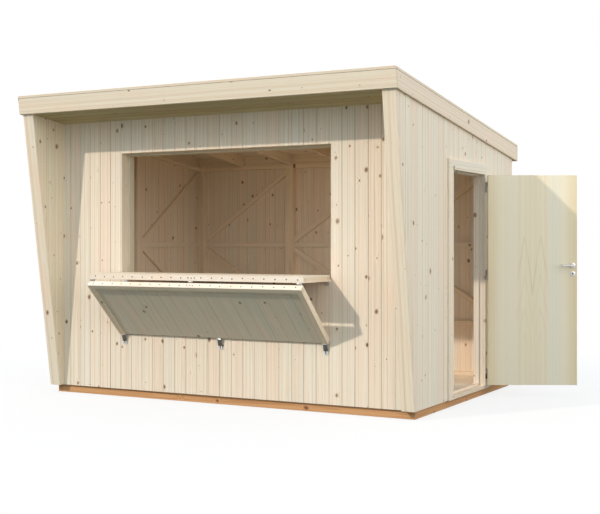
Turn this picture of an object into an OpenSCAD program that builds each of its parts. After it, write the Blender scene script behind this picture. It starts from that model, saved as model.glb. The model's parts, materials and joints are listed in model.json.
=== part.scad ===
// Wooden market stall: a walk-in timber kiosk with a folded-out serving counter, slanted side wings
// under a mono-pitch roof that falls to the back, and a side door that stands open.
// Millimetres. X runs along the front, -Y is the front, +Z is up.
// The origin is the middle of the base's underside.

/* [Stall] */
// Width of the stall across its side walls
stall_w = 3600; // [2900:50:5000]
// Depth from the front wall's face to the back wall's face
stall_d = 2400; // [2300:50:3600]
// Height of the soffit's underside where it meets the front wall
soffit_z = 2462; // [2420:10:3000]
// Fall of the roof to the back, in degrees
roof_pitch = 6.8; // [3:0.1:7]

/* [Walls] */
// Thickness of the wall boards
board_t = 18; // [14:1:28]
// Depth of the wall studs, measured through the wall
stud_depth = 70; // [45:5:120]
// Face width of studs, plates and rails
timber_w = 45; // [35:1:60]
// Depth of rails and braces, measured through the wall
rail_depth = 30; // [25:1:45]
// Height of the middle rail's underside
mid_rail_z = 1330; // [1150:10:1500]
// Height of the lower rail's underside
low_rail_z = 565; // [400:5:800]

/* [Base and floor] */
// Height of the base beams
base_h = 70; // [45:5:150]
// Width of the base beams and joists
base_w = 45; // [35:1:80]
// How far the base stands in from the wall boards
base_inset = 26; // [10:1:40]
// Number of floor joists between the side beams
joist_count = 5; // [3:2:9]
// Thickness of the floor
floor_t = 18; // [15:1:30]

/* [Wings] */
// How far the wings stand ahead of the front wall at their foot
wing_foot = 55; // [30:5:150]
// Lean of the wings' front edge from upright, in degrees
wing_lean = 8.5; // [4:0.5:14]
// Width of the board that caps a wing's front edge
wing_board_w = 110; // [110:1:160]
// Thickness of the board that caps a wing's front edge
wing_board_t = 19; // [15:1:28]

/* [Roof] */
// Height of the rafters
rafter_h = 98; // [80:1:180]
// Width of the rafters
rafter_w = 45; // [35:1:60]
// Number of rafters
rafter_count = 7; // [5:2:11]
// Thickness of the soffit boards
soffit_t = 18; // [12:1:25]
// Thickness of the roof boards
roof_t = 18; // [15:1:28]
// Thickness of the roofing felt
felt_t = 2; // [1:0.5:4]
// How far the rafters run out past the back wall
eave = 85; // [40:5:300]
// Thickness of the fascia boards
fascia_t = 22; // [15:1:28]
// Height of the edge trims on top of the felt
trim_h = 20; // [15:1:40]
// Width of the edge trims on top of the felt
trim_w = 45; // [30:1:70]

/* [Serving opening] */
// Width of the serving opening
window_w = 2084; // [1500:2:2200]
// Height of the serving opening
window_h = 1114; // [1112:1:1160]
// Height of the serving opening's lower edge
window_z = 1055; // [1020:1:1060]
// Sideways place of the opening's middle
window_x = 14; // [-100:2:100]
// Depth of the stop frame behind the opening
stop_depth = 66; // [40:1:90]
// How far the stop frame reaches into the opening
stop_reach = 20; // [10:1:40]

/* [Serving hatch] */
// Thickness of the counter panel and of the flap
hatch_t = 50; // [46:1:70]
// Thickness of the hatch's boards
hatch_board_t = 14; // [12:1:16]
// Depth of the counter panel
counter_d = 446; // [360:2:452]
// Length of the flap, from its hinged edge to its resting edge
flap_len = 644; // [600:2:646]
// Gap between the hatch's ends and the sides of the opening
hatch_gap = 8; // [5:1:20]
// Distance from a hinge pin to the panels that it joins
pin_off = 7; // [7:0.5:12]
// How far the flap's lining lies behind the face of its battens
lining_recess = 12; // [6:1:18]
// Number of hinges along each fold
hinge_count = 3; // [2:1:5]
// Length of a hatch hinge
hinge_len = 45; // [40:5:100]
// Distance from the hatch's end to the middle of its last hinge
hinge_end = 32; // [30:1:120]
// Length of a hasp's hanging plate
hasp_len = 98; // [80:1:130]
// Width of a hasp
hasp_w = 38; // [30:1:50]

/* [Door] */
// Width of the door leaf
leaf_w = 790; // [600:5:1000]
// Height of the door leaf
leaf_h = 1865; // [1700:5:1870]
// Thickness of the door leaf
leaf_t = 40; // [30:1:44]
// Height of the door leaf's lower edge
leaf_z = 108; // [106:1:116]
// Distance from the front wall's face to the doorway's near side
door_y = 759; // [300:1:1100]
// Angle by which the door stands open, in degrees
door_open = 118; // [0:1:165]
// Gap between the leaf and the frame on the hinged side
hinge_gap = 6; // [5:0.5:10]
// Gap between the leaf and the frame on the lock side
lock_gap = 8; // [8:0.5:14]
// Gap between the leaf and the frame's head
head_gap = 8; // [6:0.5:15]
// Gap between the leaf and the stops that it closes against
stop_gap = 5; // [5:0.5:10]
// Thickness of the door frame
jamb_t = 40; // [30:1:60]
// How far the door stops stand out from the frame
door_stop = 14; // [10:1:16]
// Width of the casing boards at the sides of the door
casing_w = 105; // [70:1:140]
// Height of the casing board over the door
head_casing_h = 90; // [60:1:140]
// Thickness of the casing boards
casing_t = 18; // [12:1:25]
// Height of the handles above the leaf's lower edge
handle_h = 1064; // [850:2:1150]
// Distance from the handle's spindle to the leaf's free edge
backset = 40; // [38:1:80]
// Length of the lever beyond its spindle
lever_len = 112; // [80:2:140]

/* [Hidden] */

fine = 48;
spruce = "#e8dabc";
spruce_shade = "#d9c7a2";
treated = "#c08a52";
veneer = "#ddd2ae";
felt_grey = "#4a4a48";
steel = "#b9bcc0";
black_cap = "#222222";

joint_gap = 0.5;
seat = 0.3;
hair = 0.03; // between faces that meet on a slant

// Plan: outer faces of the walls, and the faces of the frame behind the boards.
side_x = stall_w / 2;
front_y = -stall_d / 2;
back_y = stall_d / 2;
frame_out_x = side_x - board_t;
frame_in_x = frame_out_x - stud_depth;
frame_front_y = front_y + board_t;
frame_back_y = back_y - board_t;
room_front_y = frame_front_y + stud_depth;
room_back_y = frame_back_y - stud_depth;
plate_z = base_h + timber_w;

// Layers of the roof, as distances square to the slope above the soffit's underside.
rafter_n = soffit_t;
roof_n = rafter_n + rafter_h;
felt_n = roof_n + roof_t;
trim_n = felt_n + felt_t;
trim_top_n = trim_n + trim_h;
plate_n = rafter_n - timber_w;
wall_top_n = rafter_n - hair;

// Serving opening and hatch.
window_left = window_x - window_w / 2;
window_right = window_x + window_w / 2;
window_top = window_z + window_h;
hatch_left = window_left + hatch_gap;
hatch_right = window_right - hatch_gap;
counter_z = window_z + pin_off;
counter_back_y = front_y - pin_off;
counter_front_y = counter_back_y - counter_d;
fold_y = counter_front_y - pin_off;
fold_z = window_z;
knuckle_r = pin_off - 1;
flap_reach = pin_off + flap_len;
flap_angle = acos((front_y - seat - fold_y) / norm([flap_reach, pin_off])) - atan(pin_off / flap_reach);
hinge_plate_t = 2.5;
fold_plate = 34; // from the fold pin to the end of its plates
hasp_t = 3;
hasp_pin_r = 5;
hinge_xs = [for (i = [0 : hinge_count - 1])
    hatch_left + hinge_end + i * (hatch_right - hatch_left - 2 * hinge_end) / (hinge_count - 1)];

// Doorway in the right wall: clear between the jambs, and the hinge pin's place.
door_near_y = front_y + door_y;
door_far_y = door_near_y + lock_gap + leaf_w + hinge_gap;
rough_near_y = door_near_y - jamb_t;
rough_far_y = door_far_y + jamb_t;
head_z = leaf_z + leaf_h + head_gap;
rough_z = head_z + jamb_t;
door_face_x = side_x + casing_t;
rebate_x = frame_in_x + 50;
leaf_in_x = rebate_x + stop_gap;
leaf_out_x = leaf_in_x + leaf_t;
leaf_far_y = door_far_y - hinge_gap;
leaf_near_y = leaf_far_y - leaf_w;
door_pin_r = 7;
door_pin_x = door_face_x + door_pin_r + 2;
door_pin_y = door_far_y;
sill_low_z = leaf_z - 10;
sill_high_z = leaf_z + 8;
door_hinge_h = 90;
door_hinge_zs = [leaf_z + 50, leaf_z + leaf_h / 2, leaf_z + leaf_h - 150];
handle_y = leaf_near_y + backset;
handle_z = leaf_z + handle_h;
rose_r = 24;
rose_t = 9;
lever_out = 48;
lever_r = 9;
key_drop = 75;

// Height of a roof layer n above the soffit's underside, at a place y.
function slope_z(n, y) = soffit_z + n / cos(roof_pitch) - (y - front_y) * tan(roof_pitch);

// Place of the leaning front plane at a height z, moved m forward.
function lean_y(z, m) = front_y - wing_foot - m / cos(wing_lean) - (z - base_h) * tan(wing_lean);

// Height at which roof layer n meets the leaning plane moved m forward.
function lean_z(n, m) =
    (slope_z(n, front_y) + (wing_foot + m / cos(wing_lean) - base_h * tan(wing_lean)) * tan(roof_pitch))
    / (1 - tan(wing_lean) * tan(roof_pitch));

function front_corner(n, m) = [lean_y(lean_z(n, m), m), lean_z(n, m)];
function back_corner(n, out) = [back_y + eave + out, slope_z(n, back_y + eave + out)];

// A straight timber between two opposite corners.
module bar(x0, x1, y0, y1, z0, z1) {
    translate([x0, y0, z0]) cube([x1 - x0, y1 - y0, z1 - z0]);
}

// A side view in Y and Z, given thickness along X.
module side_cut(x0, x1, points) {
    translate([x0, 0, 0]) rotate([90, 0, 90]) linear_extrude(x1 - x0) polygon(points);
}

// A front view in X and Z, given thickness along Y.
module front_cut(y0, y1, points) {
    translate([0, y1, 0]) rotate([90, 0, 0]) linear_extrude(y1 - y0) polygon(points);
}

// The same piece on the left and on the right.
module both_sides() {
    children();
    mirror([1, 0, 0]) children();
}

// A piece whose top follows roof layer n.
module under_roof(x0, x1, y0, y1, z0, n) {
    side_cut(x0, x1, [[y0, z0], [y1, z0], [y1, slope_z(n - hair, y1)], [y0, slope_z(n - hair, y0)]]);
}

// Two slanting braces that open out from the middle rail; the ends are cut upright at the studs.
function brace_up(a0, a1, top) = let (h = brace_rise(a1 - a0, top - mid_rail_z))
    [[a0, mid_rail_z + timber_w + joint_gap], [a1, top - h], [a1, top],
     [a0, mid_rail_z + timber_w + joint_gap + h]];
function brace_down(a0, a1) = let (h = brace_rise(a1 - a0, mid_rail_z - low_rail_z))
    [[a0, mid_rail_z - joint_gap - h], [a1, low_rail_z + timber_w + joint_gap],
     [a1, low_rail_z + timber_w + joint_gap + h], [a0, mid_rail_z - joint_gap]];

// The same braces with their outer edges on the corners between the rail and the first stud.
function side_brace_up(a0, a1, top) = let (z = mid_rail_z + timber_w + joint_gap, run = a1 - a0, rise = top - z)
    [[a0, z], [a0 + brace_rise(rise, run), z], [a1, top - brace_rise(run, rise)], [a1, top]];
function side_brace_down(a0, a1) = let (z = mid_rail_z - joint_gap, low = low_rail_z + timber_w + joint_gap,
        run = a1 - a0, rise = z - low)
    [[a0, z], [a1, low], [a1, low + brace_rise(run, rise)], [a0 + brace_rise(rise, run), z]];
function brace_rise(run, rise) = timber_w * norm([run, rise]) / abs(run);

// ---- Base and floor

module base_cross_beams() {
    color(treated)
    for (y = [front_y + base_inset, back_y - base_inset - base_w])
        bar(-side_x + base_inset, side_x - base_inset, y, y + base_w, 0, base_h);
}

module base_side_beams() {
    color(treated)
    both_sides() joist(side_x - base_inset - base_w / 2);
}

module floor_joists() {
    step = (stall_w - 2 * base_inset - base_w) / (joist_count + 1);
    color(treated)
    for (i = [1 : joist_count]) joist(-side_x + base_inset + base_w / 2 + i * step);
}

module joist(x) {
    bar(x - base_w / 2, x + base_w / 2, front_y + base_inset + base_w, back_y - base_inset - base_w, 0, base_h);
}

module floor() {
    color(spruce_shade)
    bar(-frame_in_x, frame_in_x, room_front_y, room_back_y, base_h, base_h + floor_t);
}

// ---- Front wall

module front_wall_left() {
    color(spruce) under_roof(-frame_in_x, window_left, front_y, frame_front_y, base_h, rafter_n);
}

module front_wall_right() {
    color(spruce) under_roof(window_right, frame_in_x, front_y, frame_front_y, base_h, rafter_n);
}

module front_wall_below() {
    color(spruce) bar(window_left, window_right, front_y, frame_front_y, base_h, window_z);
}

module front_wall_above() {
    color(spruce) under_roof(window_left, window_right, front_y, frame_front_y, window_top, rafter_n);
}

module front_wall_frame() {
    y0 = frame_front_y;
    y1 = room_front_y;
    color(spruce_shade) {
        bar(-frame_in_x, frame_in_x, y0, y1, base_h, plate_z);
        side_cut(-frame_in_x, frame_in_x, [
            [y0, slope_z(plate_n, y0)], [y1, slope_z(plate_n, y1)],
            [y1, slope_z(wall_top_n, y1)], [y0, slope_z(wall_top_n, y0)]
        ]);
        for (x = [-frame_in_x, window_left - timber_w, window_right, frame_in_x - timber_w])
            front_stud(x, plate_z, y0, y1);
        for (x = [window_x - window_w / 4, window_x, window_x + window_w / 4]) {
            bar(x, x + timber_w, y0, y1, plate_z + joint_gap, window_z - timber_w - joint_gap);
            front_stud(x, window_top + timber_w, y0, y1);
        }
        for (z = [window_z - timber_w, window_top])
            bar(window_left + joint_gap, window_right - joint_gap, y0, y1, z, z + timber_w);
        for (z = [low_rail_z, mid_rail_z]) {
            bay_rail(-frame_in_x + timber_w, window_left - timber_w, y0, y0 + rail_depth, z);
            bay_rail(window_right + timber_w, frame_in_x - timber_w, y0, y0 + rail_depth, z);
        }
    }
}

module front_stud(x, z, y0, y1) {
    under_roof(x, x + timber_w, y0, y1, z + joint_gap, plate_n - joint_gap);
}

// A rail along X between two studs.
module bay_rail(x0, x1, y0, y1, z) {
    bar(x0 + joint_gap, x1 - joint_gap, y0, y1, z, z + timber_w);
}

// ---- Side walls

module left_wall() {
    color(spruce) mirror([1, 0, 0]) side_boards([
        [lean_y(base_h, -wing_board_t), base_h], [back_y, base_h],
        [back_y, slope_z(wall_top_n, back_y)], front_corner(wall_top_n, -wing_board_t)
    ]);
}

module side_boards(points) {
    side_cut(frame_out_x, side_x, points);
}

module right_wall_front() {
    color(spruce) side_boards([
        [lean_y(base_h, -wing_board_t), base_h], [rough_near_y, base_h],
        [rough_near_y, slope_z(wall_top_n, rough_near_y)], front_corner(wall_top_n, -wing_board_t)
    ]);
}

module right_wall_rear() {
    color(spruce) under_roof(frame_out_x, side_x, rough_far_y, back_y, base_h, rafter_n);
}

module right_wall_over_door() {
    color(spruce) under_roof(frame_out_x, side_x, rough_near_y, rough_far_y, rough_z, rafter_n);
}

// Foot plate, top plate, leaning wing stud and corner studs, alike on both sides.
module side_frame_ends() {
    foot_back_z = plate_z + joint_gap;
    wing_back = -wing_board_t - timber_w;
    side_timber([
        front_corner(plate_n, -wing_board_t), [frame_back_y, slope_z(plate_n, frame_back_y)],
        [frame_back_y, slope_z(wall_top_n, frame_back_y)], front_corner(wall_top_n, -wing_board_t)
    ]);
    side_timber([
        [lean_y(foot_back_z, -wing_board_t), foot_back_z], [lean_y(foot_back_z, wing_back), foot_back_z],
        front_corner(plate_n - joint_gap, wing_back), front_corner(plate_n - joint_gap, -wing_board_t)
    ]);
    for (y = [frame_front_y, frame_back_y - timber_w]) side_stud(y, plate_z);
}

module side_timber(points) {
    side_cut(frame_in_x, frame_out_x, points);
}

module side_stud(y, z) {
    under_roof(frame_in_x, frame_out_x, y, y + timber_w, z + joint_gap, plate_n - joint_gap);
}

// A rail along Y between two studs, against the boards.
module side_rail(y0, y1, z) {
    bar(frame_out_x - rail_depth, frame_out_x, y0 + joint_gap, y1 - joint_gap, z, z + timber_w);
}

module foot_plate(y_end) {
    side_timber([
        [lean_y(base_h, -wing_board_t), base_h], [y_end, base_h],
        [y_end, plate_z], [lean_y(plate_z, -wing_board_t), plate_z]
    ]);
}

module left_wall_frame() {
    color(spruce_shade) mirror([1, 0, 0]) {
        foot_plate(frame_back_y);
        side_frame_ends();
        for (y = [-timber_w, joint_gap]) side_stud(y, plate_z);
        for (bay = [[frame_front_y + timber_w, -timber_w], [joint_gap + timber_w, frame_back_y - timber_w]]) {
            a0 = bay[0] + joint_gap;
            a1 = bay[1] - joint_gap;
            for (z = [low_rail_z, mid_rail_z]) side_rail(bay[0], bay[1], z);
            for (points = [side_brace_up(a0, a1, slope_z(plate_n, a1) - joint_gap), side_brace_down(a0, a1)])
                side_cut(frame_out_x - rail_depth, frame_out_x, points);
        }
    }
}

module right_wall_frame() {
    color(spruce_shade) {
        foot_plate(rough_near_y);
        bar(frame_in_x, frame_out_x, rough_far_y, frame_back_y, base_h, plate_z);
        side_frame_ends();
        for (y = [rough_near_y - timber_w, rough_far_y]) side_stud(y, plate_z);
        bar(frame_in_x, frame_out_x, rough_near_y + joint_gap, rough_far_y - joint_gap, rough_z, rough_z + timber_w);
        side_stud((rough_near_y + rough_far_y - timber_w) / 2, rough_z + timber_w);
        for (z = [low_rail_z, mid_rail_z]) {
            side_rail(frame_front_y + timber_w, rough_near_y - timber_w, z);
            side_rail(rough_far_y + timber_w, frame_back_y - timber_w, z);
        }
    }
}

// ---- Back wall

module back_wall() {
    color(spruce) under_roof(-frame_out_x, frame_out_x, frame_back_y, back_y, base_h, rafter_n);
}

module back_wall_frame() {
    y0 = room_back_y;
    y1 = frame_back_y;
    third = stall_w / 6;
    stud_xs = [-frame_in_x, -third - timber_w, -third + joint_gap, third - timber_w - joint_gap, third,
        frame_in_x - timber_w];
    bays = [[stud_xs[0], stud_xs[1]], [stud_xs[2], stud_xs[3]], [stud_xs[4], stud_xs[5]]];
    color(spruce_shade) {
        bar(-frame_in_x, frame_in_x, y0, y1, base_h, plate_z);
        side_cut(-frame_in_x, frame_in_x, [
            [y0, slope_z(rafter_n, y0) - timber_w], [y1, slope_z(rafter_n, y0) - timber_w],
            [y1, slope_z(wall_top_n, y1)], [y0, slope_z(wall_top_n, y0)]
        ]);
        top_z = slope_z(rafter_n, y0) - timber_w - joint_gap;
        for (x = stud_xs) bar(x, x + timber_w, y0, y1, plate_z + joint_gap, top_z);
        for (bay = bays) {
            a0 = bay[0] + timber_w + joint_gap;
            a1 = bay[1] - joint_gap;
            for (z = [low_rail_z, mid_rail_z]) bar(a0, a1, y1 - rail_depth, y1, z, z + timber_w);
            for (points = [brace_up(a0, a1, top_z), brace_down(a0, a1)])
                front_cut(y1 - rail_depth, y1, points);
        }
    }
}

// ---- Wings

module wing_linings() {
    color(spruce)
    both_sides() side_cut(frame_in_x - board_t, frame_in_x, [
        [lean_y(base_h, -wing_board_t), base_h], [front_y, base_h],
        [front_y, slope_z(wall_top_n, front_y)], front_corner(wall_top_n, -wing_board_t)
    ]);
}

module wing_front_boards() {
    color(spruce)
    both_sides() side_cut(side_x - wing_board_w, side_x, [
        [lean_y(base_h, 0), base_h], [lean_y(base_h, hair - wing_board_t), base_h],
        front_corner(wall_top_n, hair - wing_board_t), front_corner(wall_top_n, 0)
    ]);
}

// ---- Roof

// A roof layer between two heights above the soffit's underside.
module roof_layer(x0, x1, n0, n1, front_out, back_out) {
    side_cut(x0, x1, [
        front_corner(n0, front_out), back_corner(n0, back_out),
        back_corner(n1 - hair, back_out), front_corner(n1 - hair, front_out)
    ]);
}

function rafter_x(i) = -side_x + i * (stall_w - rafter_w) / (rafter_count - 1);

module rafters() {
    color(spruce_shade)
    for (i = [0 : rafter_count - 1]) roof_layer(rafter_x(i), rafter_x(i) + rafter_w, rafter_n, roof_n, 0, 0);
}

module rafter_blocks() {
    color(spruce_shade)
    for (i = [0 : rafter_count - 2], y = [frame_front_y, frame_back_y - timber_w])
        side_cut(rafter_x(i) + rafter_w + joint_gap, rafter_x(i + 1) - joint_gap, [
            [y, slope_z(rafter_n, y)], [y + timber_w, slope_z(rafter_n, y + timber_w)],
            [y + timber_w, slope_z(roof_n - hair, y + timber_w)], [y, slope_z(roof_n - hair, y)]
        ]);
}

module soffit() {
    inner_x = min(side_x - wing_board_w, frame_in_x - board_t);
    color(spruce)
    side_cut(-inner_x, inner_x, [
        front_corner(0, 0), [front_y, slope_z(0, front_y)],
        [front_y, slope_z(wall_top_n, front_y)], front_corner(wall_top_n, 0)
    ]);
}

module roof_boards() {
    color(spruce_shade) roof_layer(-side_x, side_x, roof_n, felt_n, 0, 0);
}

module roof_felt() {
    edge = side_x + fascia_t;
    color(felt_grey) roof_layer(-edge, edge, felt_n, trim_n, fascia_t, fascia_t);
}

module front_fascia() {
    edge = side_x + fascia_t;
    color(spruce)
    side_cut(-edge, edge, [
        front_corner(0, fascia_t), front_corner(0, hair),
        front_corner(felt_n - hair, hair), front_corner(felt_n - hair, fascia_t)
    ]);
}

module side_fascias() {
    color(spruce)
    both_sides() roof_layer(side_x, side_x + fascia_t, 0, felt_n, 0, 0);
}

module back_fascia() {
    edge = side_x + fascia_t;
    color(spruce)
    side_cut(-edge, edge, [
        back_corner(0, 0), back_corner(0, fascia_t),
        back_corner(felt_n - hair, fascia_t), back_corner(felt_n - hair, 0)
    ]);
}

module roof_edge_trims() {
    edge = side_x + fascia_t;
    inner = fascia_t - trim_w;
    color(spruce) {
        side_cut(-edge, edge, [
            front_corner(trim_n, fascia_t), front_corner(trim_n, inner),
            front_corner(trim_top_n, inner), front_corner(trim_top_n, fascia_t)
        ]);
        side_cut(-edge, edge, [
            back_corner(trim_n, inner), back_corner(trim_n, fascia_t),
            back_corner(trim_top_n, fascia_t), back_corner(trim_top_n, inner)
        ]);
        both_sides()
            roof_layer(edge - trim_w, edge, trim_n, trim_top_n, inner - joint_gap, inner - joint_gap);
    }
}

// ---- Serving opening and hatch

module window_stops() {
    y0 = room_front_y;
    y1 = room_front_y + stop_depth;
    low = window_z + stop_reach - timber_w;
    high = window_top - stop_reach + timber_w;
    left = window_left + stop_reach;
    right = window_right - stop_reach;
    color(spruce_shade) {
        bar(left - timber_w, left, y0, y1, low, high);
        bar(right, right + timber_w, y0, y1, low, high);
        bar(left + joint_gap, right - joint_gap, y0, y1, high - timber_w, high);
        bar(left + joint_gap, right - joint_gap, y0, y1, low, low + timber_w);
    }
}

module counter_top() {
    color(spruce)
    bar(hatch_left, hatch_right, counter_front_y, counter_back_y, counter_z + hatch_t - hatch_board_t, counter_z + hatch_t);
}

module counter_boards() {
    color(spruce)
    bar(hatch_left, hatch_right, counter_front_y, counter_back_y, counter_z, counter_z + hatch_board_t);
}

module counter_battens() {
    color(spruce_shade)
    translate([0, counter_front_y, 0])
        batten_frame(counter_d, counter_z + hatch_board_t, counter_z + hatch_t - hatch_board_t);
}

// Long battens along both edges with cross battens between them, from w0 to w1 in thickness.
module batten_frame(len, w0, w1) {
    step = (hatch_right - hatch_left - timber_w) / 4;
    for (y = [0, len - timber_w]) bar(hatch_left, hatch_right, y, y + timber_w, w0, w1);
    for (i = [0 : 4])
        bar(hatch_left + i * step, hatch_left + i * step + timber_w,
            timber_w + joint_gap, len - timber_w - joint_gap, w0, w1);
}

// Places a piece on the leaning flap: Y along the flap from the fold, Z from its outer face inwards.
module on_flap() {
    translate([0, fold_y, fold_z]) rotate([-flap_angle, 0, 0]) mirror([0, 0, 1]) children();
}

module flap_boards() {
    color(spruce)
    on_flap() bar(hatch_left, hatch_right, pin_off, flap_reach, pin_off, pin_off + hatch_board_t);
}

// The batten on the resting edge lies under the lining, which runs over it.
module flap_battens() {
    inset = timber_w + joint_gap;
    color(spruce_shade)
    on_flap() translate([0, pin_off, 0]) {
        bar(hatch_left, hatch_right, 0, timber_w, pin_off + hatch_board_t, pin_off + hatch_t);
        bar(hatch_left + inset, hatch_right - inset, flap_len - timber_w, flap_len,
            pin_off + hatch_board_t, pin_off + hatch_t - lining_recess - hatch_board_t);
        for (x = [hatch_left, hatch_right - timber_w])
            bar(x, x + timber_w, inset, flap_len, pin_off + hatch_board_t, pin_off + hatch_t);
    }
}

module flap_lining() {
    inset = timber_w + joint_gap;
    face = pin_off + hatch_t - lining_recess;
    color(spruce)
    on_flap() bar(hatch_left + inset, hatch_right - inset, pin_off + inset, flap_reach, face - hatch_board_t, face);
}

// A knuckle along X at the local origin, turned so that its seam lies clear of the plates.
module knuckle(r, len) {
    rotate([-25, 0, 0]) translate([-len / 2, 0, 0]) rotate([0, 90, 0]) cylinder(r = r, h = len, $fn = fine);
}

module fold_hinges() {
    half = hinge_len / 2 - joint_gap;
    color(steel)
    for (x = hinge_xs) translate([x, 0, 0]) {
        translate([0, fold_y, fold_z]) knuckle(knuckle_r, hinge_len);
        bar(-half, half, fold_y + 1, fold_y + fold_plate, counter_z - hinge_plate_t, counter_z);
        on_flap() bar(-half, half, 1, fold_plate, pin_off - hinge_plate_t, pin_off - hair);
    }
}

module wall_hinges() {
    half = hinge_len / 2 - joint_gap;
    pin_y = front_y - knuckle_r - seat;
    color(steel)
    for (x = hinge_xs) translate([x, 0, 0]) {
        translate([0, pin_y, window_z]) knuckle(knuckle_r, hinge_len);
        bar(-half, half, front_y - hinge_plate_t, front_y, window_z - 28, window_z);
        bar(-half, half, front_y - 50, pin_y, counter_z - hinge_plate_t, counter_z);
    }
}

// Hasps on the flap's resting edge: a flange with a knuckle, and a slotted plate that hangs to the wall.
module hasps() {
    along = flap_reach + hasp_pin_r + 0.5;
    across = pin_off + hatch_t - hasp_pin_r;
    pin_y = fold_y + along * cos(flap_angle) - across * sin(flap_angle);
    pin_z = fold_z - along * sin(flap_angle) - across * cos(flap_angle);
    tilt = asin((front_y - seat - pin_y - hasp_t / 2) / hasp_len);
    half = hasp_w / 2 - joint_gap;
    color(steel)
    for (x = hinge_xs) translate([x, 0, 0]) {
        on_flap() bar(-half, half, flap_reach, flap_reach + hinge_plate_t, across - 28, across - 2);
        translate([0, pin_y, pin_z]) {
            knuckle(hasp_pin_r, hasp_w);
            rotate([tilt, 0, 0]) hasp_plate();
        }
    }
}

// A plate with a rounded lower end and a slot, hanging down from the local origin.
module hasp_plate() {
    slot_r = 5;
    end_z = -hasp_len + hasp_w / 2;
    rotate([90, 0, 0]) translate([0, 0, -hasp_t / 2]) linear_extrude(hasp_t) difference() {
        union() {
            translate([-hasp_w / 2, end_z]) square([hasp_w, -end_z]);
            translate([0, end_z]) circle(r = hasp_w / 2, $fn = fine);
        }
        translate([-slot_r, end_z]) square([2 * slot_r, 30]);
        translate([0, end_z]) circle(r = slot_r, $fn = fine);
        translate([0, end_z + 30]) circle(r = slot_r, $fn = fine);
    }
}

// ---- Door frame

module door_frame() {
    color(spruce) {
        jamb(door_near_y, rough_near_y, door_stop);
        jamb(door_far_y, rough_far_y, -door_stop);
        bar(frame_in_x, side_x, rough_near_y, rough_far_y, head_z + joint_gap, rough_z);
        bar(frame_in_x, rebate_x, door_near_y + door_stop + joint_gap, door_far_y - door_stop - joint_gap,
            head_z - door_stop, head_z + joint_gap);
    }
}

// One jamb, rebated for the leaf: the stop stands out by reach on the room side.
module jamb(y, outer_y, reach) {
    translate([0, 0, base_h]) linear_extrude(head_z - base_h) polygon([
        [frame_in_x, outer_y], [frame_in_x, y + reach], [rebate_x, y + reach],
        [rebate_x, y], [side_x, y], [side_x, outer_y]
    ]);
}

module door_threshold() {
    color(spruce) {
        bar(rebate_x, door_face_x, door_near_y + joint_gap, door_far_y - joint_gap, base_h, sill_low_z);
        bar(frame_in_x, rebate_x, door_near_y + door_stop + joint_gap, door_far_y - door_stop - joint_gap,
            base_h, sill_high_z);
    }
}

module door_casing() {
    color(spruce) {
        for (y = [door_near_y - casing_w, door_far_y])
            bar(side_x, door_face_x, y, y + casing_w, base_h, head_z - joint_gap);
        bar(side_x, door_face_x, door_near_y - casing_w, door_far_y + casing_w, head_z, head_z + head_casing_h);
    }
}

// ---- Door

// Turns a piece drawn in the closed door about the hinge pin.
module hung() {
    translate([door_pin_x, door_pin_y, 0]) rotate([0, 0, door_open]) translate([-door_pin_x, -door_pin_y, 0])
        children();
}

module door_leaf() {
    color(veneer)
    hung() bar(leaf_in_x, leaf_out_x, leaf_near_y, leaf_far_y, leaf_z, leaf_z + leaf_h);
}

module door_handles() {
    color(steel)
    hung() for (side = [0, 1])
        translate([side == 0 ? leaf_out_x : leaf_in_x, handle_y, handle_z]) mirror([side, 0, 0]) handle_set();
}

// Rose, neck, lever and key escutcheon on a face whose outward direction is +X.
module handle_set() {
    rotate([0, 90, 0]) cylinder(r = rose_r, h = rose_t, $fn = fine);
    rotate([0, 90, 0]) cylinder(r = lever_r, h = lever_out, $fn = fine);
    translate([lever_out, 0, 0]) {
        rotate([-90, 0, 0]) cylinder(r = lever_r, h = lever_len, $fn = fine);
        sphere(r = lever_r, $fn = fine);
    }
    translate([0, 0, -key_drop]) rotate([0, 90, 0]) cylinder(r = rose_r, h = rose_t - 3, $fn = fine);
}

// Fixed halves: a plate on the casing and a lower knuckle with the pin through the upper one.
module door_hinge_pins() {
    half = door_hinge_h / 2;
    color(black_cap)
    for (z = door_hinge_zs) translate([door_pin_x, door_pin_y, z]) {
        cylinder(r = door_pin_r, h = half - joint_gap, $fn = fine);
        cylinder(r = door_pin_r - 4, h = door_hinge_h, $fn = fine);
        bar(door_face_x - door_pin_x, door_face_x + hinge_plate_t - door_pin_x, 0, 40, 0, half - joint_gap);
    }
}

// Moving halves: an upper knuckle round the pin and a cranked plate on the leaf.
module door_hinge_plates() {
    half = door_hinge_h / 2;
    crank_y = -hinge_gap;
    color(steel)
    hung() for (z = door_hinge_zs) translate([door_pin_x, door_pin_y, z + half]) {
        difference() {
            union() {
                cylinder(r = door_pin_r, h = half, $fn = fine);
                bar(leaf_out_x - door_pin_x, 0, crank_y, crank_y + hinge_plate_t, 0, half);
                bar(leaf_out_x - door_pin_x, leaf_out_x - door_pin_x + hinge_plate_t, crank_y - 45, crank_y, 0, half);
            }
            translate([0, 0, -1]) cylinder(r = door_pin_r - 3.95, h = half + 2, $fn = fine);
        }
    }
}

base_cross_beams();
base_side_beams();
floor_joists();
floor();
front_wall_left();
front_wall_right();
front_wall_below();
front_wall_above();
front_wall_frame();
left_wall();
left_wall_frame();
right_wall_front();
right_wall_rear();
right_wall_over_door();
right_wall_frame();
back_wall();
back_wall_frame();
wing_linings();
wing_front_boards();
rafters();
rafter_blocks();
soffit();
roof_boards();
roof_felt();
front_fascia();
side_fascias();
back_fascia();
roof_edge_trims();
window_stops();
counter_top();
counter_battens();
counter_boards();
flap_boards();
flap_battens();
flap_lining();
fold_hinges();
wall_hinges();
hasps();
door_frame();
door_threshold();
door_casing();
door_leaf();
door_handles();
door_hinge_pins();
door_hinge_plates();
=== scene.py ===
import json
import math
import random

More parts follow.
